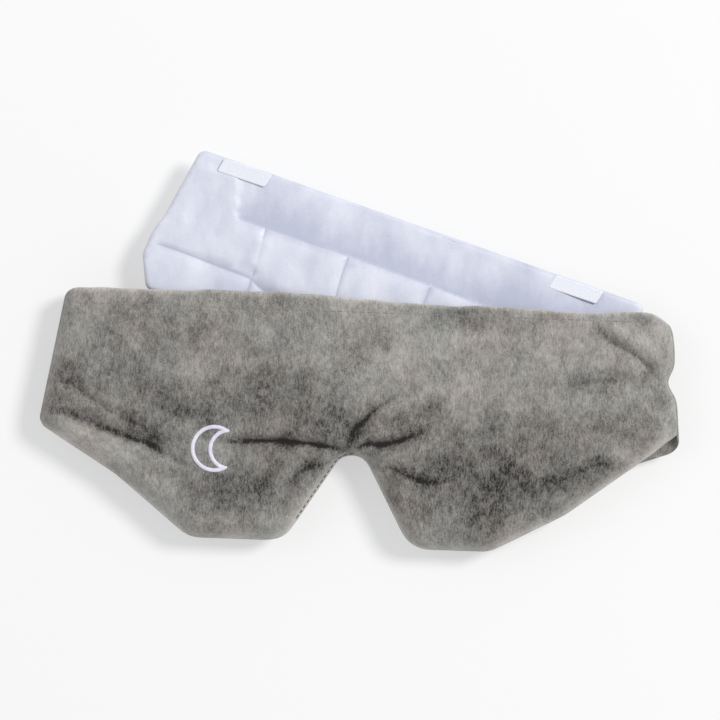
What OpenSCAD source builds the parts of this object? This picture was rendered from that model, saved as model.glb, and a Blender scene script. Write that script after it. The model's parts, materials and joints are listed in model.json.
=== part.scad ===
// Wrap-around sleep mask: a plush cover with two folding wings and a closure tab,
// and a quilted weighted insert that swings out of the cover's pocket.
// The mask lies flat with its front up. +X runs along the top edge, +Y points to the
// forehead, +Z points up. The origin is the middle of the footprint, on the table.

/* [Cover front] */
// Top edge, from the nose line to the left fold
left_reach = 126; // [115:1:135]
// Top edge, from the nose line to the right fold
right_reach = 143.5; // [143:0.5:150]
// Height of the front at the left fold
left_fold_h = 61.5; // [58:0.5:66]
// Height of the right fold, down to the wing's corner
right_fold_h = 64.5; // [60:0.5:66]
// How far the left fold line leans outward from top to bottom
left_fold_lean = 10.6; // [8:0.1:12]
// How far the right fold line leans outward from top to bottom
right_fold_lean = 5.5; // [4:0.1:6]
// Depth of the lobes below the top edge
lobe_depth = 111; // [106:1:116]
// Height of the nose arch's top, below the top edge
arch_depth = 70.3; // [69.5:0.1:72]
// Radius of the nose arch
arch_r = 8.8; // [8:0.1:9.5]
// Radius of the lobes' outer corners
lobe_r = 12; // [8:1:14]
// Radius of the nose arch's two feet
foot_r = 14; // [8:1:15]
// Radius of the corners beside the folds
corner_r = 6; // [4:1:8]
// How far the mouth's edge falls from the nose line to the right fold
mouth_drop = 2.2; // [0:0.1:3]
// Thickness of the plush front panel
front_t = 2.5; // [2:0.1:3]
// Thickness of the lining that lies on the face
lining_t = 1.5; // [1:0.1:1.5]
// Width of the sewn edge that joins front and lining
seam_w = 2; // [1.5:0.1:2]

/* [Wings] */
// Length of a wing from its fold line
wing_l = 130; // [120:1:130]
// Height of a wing at its fold line
wing_h = 62; // [58:1:62]
// Height of a wing at its free end
wing_end_h = 40; // [38:1:44]
// Thickness of a wing's plush face
wing_plush_t = 1.3; // [1:0.1:1.3]
// Thickness of a wing's padding
wing_pad_t = 1.2; // [0.8:0.1:1.2]
// Thickness of a wing's lining
wing_lining_t = 0.9; // [0.6:0.1:0.9]

/* [Closure] */
// Length of the closure tab
tab_l = 84; // [70:1:90]
// Height of the closure tab
tab_h = 28; // [24:1:28]
// Thickness of the hook strip
hook_t = 1.2; // [1:0.1:1.2]
// Length of the hook strip
hook_l = 60; // [50:1:62]
// Height of the hook strip
hook_h = 22; // [18:1:22]
// Length of the loop patch on the left wing
loop_l = 62; // [50:1:64]
// Height of the loop patch
loop_h = 26; // [22:1:26]

/* [Weighted insert] */
// Length of the insert's top edge
insert_l = 209; // [200:1:209]
// Height of the insert
insert_h = 65; // [60:1:65]
// Height of the unfilled header band
header_h = 22; // [20:1:23]
// How far the ends flare out past the top corners
end_flare = 8; // [5:0.5:9]
// How far the header's left end rises above its right end
header_rise = 2; // [0:0.5:3]
// Thickness of a filled chamber, sheets included
chamber_t = 7.8; // [6:0.2:7.8]
// Thickness of one satin sheet
sheet_t = 0.6; // [0.4:0.1:0.6]
// Distance between the upright quilting seams
column_pitch = 38.4; // [34:0.1:40]
// First upright quilting seam, from the left top corner
first_seam = 39.5; // [36:0.5:42]
// How far the insert is swung out of the pocket
swing_out_deg = 16.8; // [0:0.1:20]

/* [Embroidery] */
// Height of the embroidered crescent
moon_h = 21; // [14:1:24]
// Width of the satin-stitch line
moon_line_w = 1.8; // [1.4:0.1:2.2]
// How far the thread stands above the plush
moon_t = 0.6; // [0.3:0.1:0.8]

/* [Hidden] */
$fn = 48;

// Middle of the footprint, seen from the nose line on the top edge
footprint_x = 6.34;
footprint_y = -24.12;

// Clearance between pieces that lie on one another
gap = 0.05;
// Overlap of two shapes that are joined or cut, so that no skin stays between them
overlap = 0.01;
// Free strip beside each fold line, where the cloth turns
fold_gap = 1.2;
// Wider than the whole mask, for the squares that cut it
cut_span = 400;

// Sewing thread, and how far it lies inside the edge of a sewn-on patch
thread_w = 0.6;
thread_t = 0.3;
stitch_inset = 1.5;

// Levels, counted up from the table
tab_lining_t = 1.2;
tab_outer_t = 1.8;
tab_lining_z = hook_t + gap;
tab_outer_z = tab_lining_z + tab_lining_t + gap;
loop_t = 1;
tab_top_z = tab_outer_z + tab_outer_t;
loop_z = tab_top_z + thread_t + 2 * gap;
wing_outer_z = loop_z + loop_t + gap;
wing_pad_z = wing_outer_z + wing_plush_t + gap;
wing_lining_z = wing_pad_z + wing_pad_t + gap;
face_z = 9.9;
pocket_z = face_z + lining_t;
pocket_h = 9;
front_z = pocket_z + pocket_h;
front_top_z = front_z + front_t;
insert_lift = 4.15;
insert_mid_z = pocket_z + insert_lift;

// Nose arch: a circle at the top and straight legs to the two feet
arch_x = 3.6;
arch_left_foot = -29;
arch_right_foot = 32.4;
arch_foot_y = -lobe_depth - 4;

// The corners beside the folds reach this far below the left fold
fold_corner_drop = 7;

// Thread on the nose arch: where it ends, its height, and its top below the front panel
nose_thread_depth = 100;
nose_thread_h = 0.8;
nose_thread_drop = 0.7;

// Hem of the pocket's mouth: its depth, and where its thread ends beside the folds
mouth_hem = 7;
hem_end = 12;

// Crescent: its middle, its turn, and the circle that bites it out
moon_at = [-57.6, -69.3];
moon_turn = -20;
moon_bite_at = [0.3 * moon_h, 0.1 * moon_h];
moon_bite_r = 0.36 * moon_h;
moon_tip_r = 0.6;

// Corners of the wings and of the tab, and the padding's distance from a wing's edge
wing_corner_r = 6;
pad_inset = 2;

// The closure tab folds about a line beside the right wing's free end
tab_fold_x = 15.8;
tab_mid_y = -56;
// Its root seam on the wing, and the places of the hook strip and the loop patch
root_seam_x = 9;
root_seam = [14, 20];
hook_start = 20;
loop_end_x = -14;

// The insert turns about a point just inside the pocket mouth's right corner
pivot_x = 138;
pivot_y = -5;
pivot_u = 217.4;
pivot_v = 4;

// Chambers of the insert, and the seams between them
insert_corner_r = 4;
chamber_gap = 1.5;
chamber_top_share = 0.72;
chamber_rise = chamber_t / 2 - sheet_t;
row_seam = header_h + (insert_h - header_h) / 2;
last_seam = 180;
seams = concat([for (i = [0 : 3]) first_seam + i * column_pitch], [last_seam]);
column_edges = concat([0], seams, [insert_l - 4]);
row_edges = [header_h, row_seam, insert_h];
level_seam_end = 1;
upright_seam_end = 3;
edge_thread_inset = 0.3;

// A chamber's shell, measured sideways, and the beads inside it
shell_wall = 1;
bead_inset = 1.3;
bead_drop = 0.2;

// Hook tabs on the insert's header, and the loop tabs in the pocket that hold them
hook_tab_l = 23.5;
hook_tab_h = 7;
hook_tab_t = 0.8;
hook_tab_edge = 0.8;
hook_tab_places = [10, 166];
hook_tab_z = sheet_t + thread_t + 3 * gap;
loop_tab_t = 0.7;

plush = [0.55, 0.54, 0.53];
plush_dark = [0.47, 0.46, 0.45];
lining_grey = [0.62, 0.61, 0.60];
satin = [0.87, 0.88, 0.93];
thread_white = [0.90, 0.89, 0.94];
thread_dark = [0.30, 0.29, 0.29];

// ---------- helpers ----------

module on_table() translate([-footprint_x, -footprint_y, 0]) children();

module plate(z, t) translate([0, 0, z]) linear_extrude(t) children();

module soft_corners(r) offset(r = r) offset(delta = -r) children();

module inset(d) offset(delta = -d) children();

// A band of width w whose outer edge lies d inside the outline
module band(d, w) difference() {
    inset(d) children();
    inset(d + w) children();
}

// ---------- outlines, seen from above ----------

module nose_arch(grow = 0) hull() {
    translate([arch_x, -arch_depth - arch_r]) circle(arch_r + grow);
    translate([arch_left_foot - grow, arch_foot_y]) square(1);
    translate([arch_right_foot - 1 + grow, arch_foot_y]) square(1);
}

// The front without its nose arch, with sharp corners
module front_blank() polygon([
    [-left_reach + fold_gap, 0],
    [-left_reach - left_fold_lean + fold_gap, -left_fold_h],
    [-102, -83.5],
    [-68, -lobe_depth],
    [66, -lobe_depth],
    [99, -93.5],
    [right_reach - 6, -right_fold_h],
    [right_reach + right_fold_lean - fold_gap, -right_fold_h + 9],
    [right_reach - fold_gap, -mouth_drop],
    [0, 0]
]);

// The feet of the arch and the lobes are rounder than the corners beside the folds
module front_outline() {
    soft_corners(foot_r) difference() {
        soft_corners(lobe_r) front_blank();
        nose_arch();
    }
    soft_corners(corner_r) intersection() {
        front_blank();
        translate([-cut_span / 2, -left_fold_h - fold_corner_drop])
            square([cut_span, left_fold_h + fold_corner_drop]);
    }
}

// The stretch below the open mouth, where front and lining are sewn together
module sewn_stretch() translate([-cut_span / 2, -mouth_hem - cut_span]) square(cut_span);

// One wing, with its fold line along +Y and the wing reaching towards +X
module wing_outline() soft_corners(wing_corner_r) polygon([
    [fold_gap, 0.5],
    [38, -9],
    [80, -12],
    [wing_l - 4, 0],
    [wing_l, wing_end_h],
    [fold_gap, wing_h]
]);

module at_left_fold() {
    lean = atan(left_fold_lean / left_fold_h);
    translate([-left_reach - left_fold_lean, -left_fold_h]) rotate(-lean) children();
}

module at_right_fold() {
    lean = atan(right_fold_lean / right_fold_h);
    translate([right_reach + right_fold_lean, -right_fold_h]) rotate(lean)
        mirror([1, 0]) children();
}

module tab_outline() translate([tab_fold_x, tab_mid_y]) soft_corners(wing_corner_r)
    translate([fold_gap, -tab_h / 2]) square([tab_l - fold_gap, tab_h]);

module hook_outline() translate([tab_fold_x + hook_start, tab_mid_y - hook_h / 2])
    square([hook_l, hook_h]);

module loop_outline() translate([loop_end_x - loop_l, tab_mid_y - loop_h / 2])
    square([loop_l, loop_h]);

// The insert, with its left top corner at the origin and its body towards -Y.
// Its right end is blunter below, so that it clears the lobe's sewn edge in the pocket.
module insert_outline() soft_corners(insert_corner_r) polygon([
    [0, header_rise],
    [-end_flare * 0.85, -insert_h * 0.55],
    [-end_flare, -insert_h * 0.78],
    [-end_flare * 0.2, -insert_h],
    [insert_l - 6, -insert_h],
    [insert_l + end_flare * 0.6, -insert_h * 0.78],
    [insert_l, 0]
]);

module in_pocket() translate([pivot_x, pivot_y, insert_mid_z])
    rotate(-swing_out_deg) translate([-pivot_u, pivot_v]) children();

// ---------- cover, front ----------

module front_panel() color(plush) on_table()
    plate(front_z, front_t) front_outline();

module face_lining() color(lining_grey) on_table()
    plate(face_z, lining_t) front_outline();

module edge_seam() color(plush_dark) on_table()
    plate(pocket_z + gap, pocket_h - 2 * gap) intersection() {
        band(0, seam_w) front_outline();
        sewn_stretch();
    }

// Thread on the arch's wall, just under the front panel
module nose_seam_stitch() color(thread_dark) on_table()
    plate(front_z - nose_thread_drop - nose_thread_h, nose_thread_h) intersection() {
        difference() {
            nose_arch(-gap);
            nose_arch(-gap - thread_w);
        }
        translate([-cut_span / 2, -nose_thread_depth]) square(cut_span);
    }

// Two rows of thread along the mouth: on the front panel and under the lining
module mouth_hem_stitch() color(plush_dark) on_table() {
    hem_l = left_reach + right_reach - 2 * hem_end;
    for (z = [front_top_z + gap, face_z - gap - thread_t])
        translate([-left_reach + hem_end, -mouth_hem, z]) cube([hem_l, thread_w, thread_t]);
}

// A crescent drawn as one closed satin-stitch line
module moon_embroidery() color(thread_white) on_table()
    plate(front_top_z + gap, moon_t) translate(moon_at) rotate(moon_turn) difference() {
        crescent(0);
        crescent(moon_line_w);
    }

module crescent(d) inset(d) soft_corners(moon_tip_r) difference() {
    circle(moon_h / 2);
    translate(moon_bite_at) circle(moon_bite_r);
}

// Under the front panel, above the place where the insert's hook tabs end up
module pocket_loop_tabs() color(satin) on_table()
    for (u = hook_tab_places)
        translate([pivot_x - pivot_u + u, pivot_y - hook_tab_h, front_z - gap - loop_tab_t])
            cube([hook_tab_l, hook_tab_h, loop_tab_t]);

// ---------- wings ----------

module left_wing_outer() color(plush) on_table()
    plate(wing_outer_z, wing_plush_t) at_left_fold() wing_outline();

module left_wing_padding() color("white") on_table()
    plate(wing_pad_z, wing_pad_t) at_left_fold() inset(pad_inset) wing_outline();

module left_wing_lining() color(lining_grey) on_table()
    plate(wing_lining_z, wing_lining_t) at_left_fold() wing_outline();

module loop_patch() color(plush_dark) on_table()
    plate(loop_z, loop_t) loop_outline();

module loop_patch_stitch() color(thread_dark) on_table()
    plate(loop_z - gap - thread_t, thread_t) band(stitch_inset, thread_w) loop_outline();

module right_wing_outer() color(plush) on_table()
    plate(wing_outer_z, wing_plush_t) at_right_fold() wing_outline();

module right_wing_padding() color("white") on_table()
    plate(wing_pad_z, wing_pad_t) at_right_fold() inset(pad_inset) wing_outline();

module right_wing_lining() color(lining_grey) on_table()
    plate(wing_lining_z, wing_lining_t) at_right_fold() wing_outline();

module tab_root_stitch() color(thread_dark) on_table()
    plate(wing_outer_z - gap - thread_t, thread_t) band(0, thread_w)
        translate([tab_fold_x + root_seam_x, tab_mid_y - root_seam[1] / 2]) square(root_seam);

// ---------- closure tab ----------

module closure_tab_outer() color(plush) on_table()
    plate(tab_outer_z, tab_outer_t) tab_outline();

module closure_tab_lining() color(lining_grey) on_table()
    plate(tab_lining_z, tab_lining_t) tab_outline();

module hook_strip() color(plush_dark) on_table()
    plate(0, hook_t) hook_outline();

// The thread shows on the tab's plush side, above the hook strip
module hook_strip_stitch() color(thread_dark) on_table()
    plate(tab_top_z + gap, thread_t) band(stitch_inset, thread_w) hook_outline();

// ---------- weighted insert ----------

// Calls its children at the middle of each chamber, with $size set to its length and height
module each_chamber() for (c = [0 : len(column_edges) - 2], r = [0, 1]) {
    w = column_edges[c + 1] - column_edges[c] - 2 * chamber_gap;
    h = row_edges[r + 1] - row_edges[r] - 2 * chamber_gap;
    $size = [w, h];
    translate([column_edges[c] + chamber_gap + w / 2, -row_edges[r] - chamber_gap - h / 2])
        children();
}

// A pillow half that narrows as it rises, shrunk all round by d
module half_pillow(d, rise) linear_extrude(rise, scale = chamber_top_share)
    soft_corners(insert_corner_r, $fn = 16)
        square([$size[0] - 2 * d, $size[1] - 2 * d], center = true);

module insert_sheet() difference() {
    union() {
        translate([0, 0, gap]) linear_extrude(sheet_t) insert_outline();
        each_chamber() translate([0, 0, gap + sheet_t - overlap])
            half_pillow(0, chamber_rise);
    }
    each_chamber() translate([0, 0, -overlap]) half_pillow(shell_wall, chamber_rise);
}

module insert_front_shell() color(satin) on_table() in_pocket() insert_sheet();

module insert_back_shell() color(satin) on_table() in_pocket()
    mirror([0, 0, 1]) insert_sheet();

module bead_fill() color("white") on_table() in_pocket()
    each_chamber() for (side = [0, 1]) mirror([0, 0, side])
        half_pillow(bead_inset, chamber_rise - bead_drop);

// Thread lines on both faces, in the channels between the chambers
module quilting_lines() {
    for (v = [header_h, row_seam])
        translate([level_seam_end, -v - thread_w / 2])
            square([insert_l - 2 * level_seam_end, thread_w]);
    for (u = seams)
        translate([u - thread_w / 2, -insert_h + upright_seam_end])
            square([thread_w, insert_h - upright_seam_end - header_h]);
}

module quilting_stitch() color(thread_white) on_table() in_pocket()
    for (side = [0, 1]) mirror([0, 0, side])
        translate([0, 0, gap + sheet_t + gap]) linear_extrude(thread_t) quilting_lines();

module insert_edge_stitch() color(thread_white) on_table() in_pocket()
    for (side = [0, 1]) mirror([0, 0, side])
        translate([0, 0, gap + sheet_t + gap]) linear_extrude(thread_t)
            band(edge_thread_inset, thread_w) insert_outline();

// Upper edge of a hook tab, just below the header's slanting edge
function hook_tab_top(u) = header_rise * (1 - u / insert_l) - hook_tab_edge;

module insert_hook_tabs() color(thread_white) on_table() in_pocket()
    for (u = hook_tab_places)
        translate([u, hook_tab_top(u) - hook_tab_h, hook_tab_z])
            cube([hook_tab_l, hook_tab_h, hook_tab_t]);

front_panel();
face_lining();
edge_seam();
nose_seam_stitch();
mouth_hem_stitch();
moon_embroidery();
pocket_loop_tabs();
left_wing_outer();
left_wing_padding();
left_wing_lining();
loop_patch();
loop_patch_stitch();
right_wing_outer();
right_wing_padding();
right_wing_lining();
tab_root_stitch();
closure_tab_outer();
closure_tab_lining();
hook_strip();
hook_strip_stitch();
insert_front_shell();
insert_back_shell();
bead_fill();
quilting_stitch();
insert_edge_stitch();
insert_hook_tabs();
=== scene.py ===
"""Looks of the wrap-around sleep mask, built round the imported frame.

Shapes are worked out in millimetres, in the row frame, and become metres when a mesh is made.
"""

import json
import math
from collections import namedtuple

import bmesh
import bpy
import numpy as np
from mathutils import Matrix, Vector
from mathutils.geometry import delaunay_2d_cdt


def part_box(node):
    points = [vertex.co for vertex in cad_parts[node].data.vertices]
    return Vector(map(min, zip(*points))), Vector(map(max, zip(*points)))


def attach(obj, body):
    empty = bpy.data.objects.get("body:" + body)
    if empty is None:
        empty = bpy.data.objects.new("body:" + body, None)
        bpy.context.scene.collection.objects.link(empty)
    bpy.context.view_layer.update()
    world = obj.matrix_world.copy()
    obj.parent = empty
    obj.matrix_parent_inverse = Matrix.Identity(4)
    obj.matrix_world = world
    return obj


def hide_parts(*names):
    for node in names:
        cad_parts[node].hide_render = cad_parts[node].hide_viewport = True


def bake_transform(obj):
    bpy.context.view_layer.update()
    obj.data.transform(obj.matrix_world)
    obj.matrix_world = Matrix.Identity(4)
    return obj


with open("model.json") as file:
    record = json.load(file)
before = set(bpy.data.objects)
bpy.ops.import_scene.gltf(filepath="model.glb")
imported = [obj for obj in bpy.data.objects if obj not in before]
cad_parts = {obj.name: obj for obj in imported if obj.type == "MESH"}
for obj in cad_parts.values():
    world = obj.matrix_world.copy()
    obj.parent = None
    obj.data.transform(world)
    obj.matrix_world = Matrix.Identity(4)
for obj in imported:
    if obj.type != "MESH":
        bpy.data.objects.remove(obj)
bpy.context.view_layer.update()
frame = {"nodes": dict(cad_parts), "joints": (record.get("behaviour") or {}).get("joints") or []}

MM = 0.001
SHARP_ANGLE = math.radians(62)

# Cloth thicknesses and the roundness of the pouch's edges
PLUSH_T = 2.0
LINING_T = 1.3
FOLD_R = 8.5
SEWN_R = 9.0
RIM_RINGS = (0.25, 0.7, 1.4, 2.4)
# The free strip that the CAD plates leave beside each fold line
FOLD_GAP = 1.2
# How far from the fold lines the plush and the lining begin
FOLD_START = 0.05
LINING_START = 0.5
# The wings' lining begins further in, so that plush shows where a wing looks out under the front
WING_LINING_START = 17.0

Fold = namedtuple("Fold", "at up inward")


# ---------- frame ----------

def box_mm(node):
    low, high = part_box(node)
    return np.array(low) / MM, np.array(high) / MM


def joint(name):
    return next(j for j in frame["joints"] if j["name"] == name)


def fold_line(name):
    """A fold's lower end, its direction up the mask and the direction into the front."""
    up = np.array(joint(name)["axis"][:2], float)
    up *= np.sign(up[1])
    at = np.array(joint(name)["pos_m"][:2]) / MM
    inward = np.array([up[1], -up[0]]) * -np.sign(at[0])
    return Fold(at, up, inward)


LEFT, RIGHT = fold_line("left_wing_fold"), fold_line("right_wing_fold")
MID_Z = joint("left_wing_fold")["pos_m"][2] / MM
TOP_Z = box_mm("front_panel")[1][2] - 0.3
FACE_Z = box_mm("face_lining")[0][2]
MOUTH_Y = box_mm("front_panel")[1][1]
WING_LOW_Z = box_mm("left_wing_outer")[0][2]
WING_TOP_Z = box_mm("left_wing_lining")[1][2]
WING_MID_Z = (WING_LOW_Z + WING_TOP_Z) / 2
WING_HALF_T = (WING_TOP_Z - WING_LOW_Z) / 2
# The nose line, which the cover's own measures start from together with the mouth
NOSE_X = -6.34
# How far the hem's stitches lie below the mouth
HEM_DEPTH = 6.7


def cover(points):
    """Points measured from the mouth above the nose, in the row frame."""
    return np.array(points, float) + (NOSE_X, MOUTH_Y)


# ---------- plane geometry ----------

def segments(line, closed=False):
    ends = np.roll(line, -1, axis=0) if closed else line[1:]
    return line[: len(ends)], ends


def distance(points, a, b):
    """Distance from each point to the nearest of the segments a-b, and how far along them it is."""
    nearest = np.full(len(points), 1e9)
    along = np.zeros(len(points))
    lengths = np.linalg.norm(b - a, axis=1)
    starts = np.concatenate([[0], np.cumsum(lengths)[:-1]])
    for p, q, length, start in zip(a, b, lengths, starts):
        if length < 1e-9:
            continue
        direction = (q - p) / length
        t = np.clip((points - p) @ direction, 0, length)
        here = np.linalg.norm(points - p - t[:, None] * direction, axis=1)
        closer = here < nearest
        nearest[closer] = here[closer]
        along[closer] = start + t[closer]
    return nearest, along


def loop_distance(points, loop):
    return distance(points, *segments(loop, closed=True))[0]


def inside(points, loop):
    result = np.zeros(len(points), bool)
    x, y = points.T
    for (x1, y1), (x2, y2) in zip(*segments(loop, closed=True)):
        if y1 != y2:
            crosses = (y1 > y) != (y2 > y)
            result ^= crosses & (x < (x2 - x1) * (y - y1) / (y2 - y1) + x1)
    return result


def area(loop):
    x, y = loop.T
    return 0.5 * np.sum(x * np.roll(y, -1) - np.roll(x, -1) * y)


def resample(line, step, closed=True):
    """The same line with points at an even spacing near `step`."""
    a, b = segments(line, closed)
    starts = np.concatenate([[0], np.cumsum(np.linalg.norm(b - a, axis=1))])
    count = max(4, round(starts[-1] / step))
    at = np.linspace(0, starts[-1], count + 1)[: count if closed else count + 1]
    full = np.vstack([a, b[-1:]])
    return np.column_stack([np.interp(at, starts, full[:, k]) for k in range(full.shape[1])])


def smooth_line(points, per_span=6):
    """A Catmull-Rom curve through a few points."""
    p = np.vstack([points[:1], points, points[-1:]])
    t = np.linspace(0, 1, per_span, endpoint=False)[:, None]
    spans = [0.5 * (2 * p[i + 1] + (p[i + 2] - p[i]) * t
                    + (2 * p[i] - 5 * p[i + 1] + 4 * p[i + 2] - p[i + 3]) * t ** 2
                    + (3 * p[i + 1] - p[i] - 3 * p[i + 2] + p[i + 3]) * t ** 3)
             for i in range(len(points) - 1)]
    return np.vstack(spans + [p[-1:]])


def node_loops(node, side=1):
    """The edge loops of a CAD node's top (side 1) or bottom (side -1) face, largest first, in mm."""
    bm = bmesh.new()
    bm.from_mesh(frame["nodes"][node].data)
    bmesh.ops.remove_doubles(bm, verts=bm.verts, dist=1e-6)
    bm.normal_update()
    level = max(side * v.co.z for v in bm.verts) - 1e-5
    flat = {f for f in bm.faces
            if side * f.normal.z > 0.99 and side * f.calc_center_median().z > level}
    links = {}
    for edge in bm.edges:
        if sum(f in flat for f in edge.link_faces) == 1:
            start, end = edge.verts
            for v, other in ((start, end), (end, start)):
                links.setdefault(v.index, (v.co.xy[:], []))[1].append(other.index)
    loops = []
    while links:
        here, loop = next(iter(links)), []
        while here is not None:
            place, nexts = links.pop(here)
            loop.append(place)
            here = next((n for n in nexts if n in links), None)
        loop = np.array(loop) / MM
        loops.append(loop if area(loop) > 0 else loop[::-1])
    bm.free()
    return sorted(loops, key=area, reverse=True)


def fold_coords(points, fold):
    """How far up the fold line and how far into the front each point lies."""
    relative = points - fold.at
    return relative @ fold.up, relative @ fold.inward


def to_fold_line(loop, *folds):
    """Stretches a CAD outline over its free strip, up to the fold lines."""
    for fold in folds:
        depth = fold_coords(loop, fold)[1]
        pull = FOLD_GAP * np.clip(1 - (depth - FOLD_GAP) / 4, 0, 1)
        loop = loop - pull[:, None] * fold.inward
    return loop


def cut_at(loop, fold, depth):
    """The part of an outline that lies at least `depth` inside a fold line."""
    d = fold_coords(loop, fold)[1] - depth
    kept = []
    for here, after, d1, d2 in zip(loop, np.roll(loop, -1, axis=0), d, np.roll(d, -1)):
        if d1 >= 0:
            kept.append(here)
        if (d1 >= 0) != (d2 >= 0):
            kept.append(here + (after - here) * d1 / (d1 - d2))
    return np.array(kept)


def fill(loop, spacing, rings=RIM_RINGS, holes=(), extra=None):
    """Points and triangles that fill an outline, finer beside its edge."""
    tangent = np.roll(loop, -1, axis=0) - np.roll(loop, 1, axis=0)
    normal = np.column_stack([-tangent[:, 1], tangent[:, 0]])
    normal /= np.linalg.norm(normal, axis=1)[:, None]
    groups = [loop] + list(holes)
    for depth in rings:
        ring = loop + normal * depth
        ring = ring[inside(ring, loop)]
        groups.append(ring[loop_distance(ring, loop) > 0.97 * depth])
    low, high = loop.min(0), loop.max(0)
    rows = np.arange(low[1], high[1], spacing * math.sqrt(3) / 2)
    columns = np.arange(low[0], high[0], spacing)
    grid = np.array([(x + (i % 2) * spacing / 2, y) for i, y in enumerate(rows) for x in columns])
    grid = grid[inside(grid, loop)]
    grid = grid[loop_distance(grid, loop) > (rings[-1] if rings else 0) + 0.5 * spacing]
    if extra is not None:
        far = distance(grid, *segments(extra))[0] > 0.6 * spacing if len(extra) > 1 else True
        grid = grid[far]
        groups.append(extra)
    for hole in holes:
        grid = grid[loop_distance(grid, hole) > 0.3 * spacing]
    groups.append(grid)
    points = [Vector(p) for p in np.vstack(groups)]
    verts, _, faces = delaunay_2d_cdt(points, [], [list(range(len(loop)))], 1, 1e-4)[:3]
    verts = np.array([tuple(v) for v in verts])
    middles = np.array([verts[list(f)].mean(0) for f in faces])
    keep = np.ones(len(faces), bool)
    for hole in holes:
        keep &= ~inside(middles, hole)
    return verts, [tuple(f) for f, k in zip(faces, keep) if k]


def profile(d, radius):
    """A quarter circle: 0 at an edge, 1 from `radius` inward."""
    return np.sqrt(np.clip(1 - (1 - np.clip(d / radius, 0, 1)) ** 2, 0, 1))


def smoothstep(x):
    x = np.clip(x, 0, 1)
    return x * x * (3 - 2 * x)


def waves(points, size, seed, count=14):
    """A smooth field, about -1 to 1, with features about `size` mm wide."""
    rng = np.random.default_rng(seed)
    total = np.zeros(len(points))
    for _ in range(count):
        turn = rng.uniform(0, 2 * math.pi)
        pace = 2 * math.pi / (size * rng.uniform(1.4, 2.8))
        total += np.sin(points @ (pace * np.array([math.cos(turn), math.sin(turn)]))
                        + rng.uniform(0, 2 * math.pi))
    return total / math.sqrt(count)


# ---------- meshes ----------

def make_mesh(name, shape, material, body=None, replaces=(), shade=None):
    """A piece from its points in mm and its faces, smooth but for its sharp edges. It takes the given
    material, rides on a body and stands for the CAD nodes it replaces."""
    verts, faces = shape
    mesh = bpy.data.meshes.new(name)
    mesh.from_pydata((np.asarray(verts) * MM).tolist(), [], faces)
    if shade is not None:
        values = mesh.attributes.new("shade", "FLOAT", "POINT").data
        values.foreach_set("value", np.asarray(shade, np.float32))
    bm = bmesh.new()
    bm.from_mesh(mesh)
    bmesh.ops.remove_doubles(bm, verts=bm.verts, dist=2e-6)
    bmesh.ops.dissolve_degenerate(bm, edges=bm.edges, dist=1e-6)
    bmesh.ops.recalc_face_normals(bm, faces=bm.faces)
    bm.to_mesh(mesh)
    bm.free()
    mesh.polygons.foreach_set("use_smooth", [True] * len(mesh.polygons))
    mesh.set_sharp_from_angle(angle=SHARP_ANGLE)
    mesh.materials.append(material)
    piece = bpy.data.objects.new(name, mesh)
    bpy.context.scene.collection.objects.link(piece)
    if body:
        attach(piece, body)
    if replaces:
        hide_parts(*replaces)
    return piece


def closed(points, faces, top, bottom):
    """Verts and faces of a closed shell over a filled outline, between two heights."""
    n = len(points)
    verts = np.vstack([np.column_stack([points, top]), np.column_stack([points, bottom])])
    edges = {(f[i], f[(i + 1) % 3]) for f in faces for i in range(3)}
    rim = [(a, b) for a, b in edges if (b, a) not in edges]
    under = [tuple(v + n for v in reversed(f)) for f in faces]
    walls = [(b, a, a + n, b + n) for a, b in sorted(rim)]
    return verts, faces + under + walls


def grid_faces(rows, columns, wrap_columns=False):
    """Quads over a grid of rows x columns points."""
    last = columns if wrap_columns else columns - 1
    return [(i * columns + j, i * columns + (j + 1) % columns,
             (i + 1) * columns + (j + 1) % columns, (i + 1) * columns + j)
            for i in range(rows - 1) for j in range(last)]


def thick_grid(points, thickness):
    """Verts and faces of a closed sheet. `points` is rows x columns x 3 on its outer side, and
    `thickness` says how far the inner side lies along the grid's normal at each point."""
    rows, columns = points.shape[:2]
    normal = np.cross(np.gradient(points, axis=0), np.gradient(points, axis=1))
    normal /= np.maximum(np.linalg.norm(normal, axis=2, keepdims=True), 1e-9)
    inner = points - normal * thickness[..., None]
    n = rows * columns
    ids = np.arange(n).reshape(rows, columns)
    rim = np.concatenate([ids[0], ids[1:, -1], ids[-1, -2::-1], ids[-2:0:-1, 0]]).tolist()
    outer_faces = grid_faces(rows, columns)
    faces = outer_faces + [tuple(v + n for v in reversed(f)) for f in outer_faces]
    faces += [(a, b, b + n, a + n) for a, b in zip(rim, rim[1:] + rim[:1])]
    return np.vstack([points.reshape(-1, 3), inner.reshape(-1, 3)]), faces


# ---------- materials ----------

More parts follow.
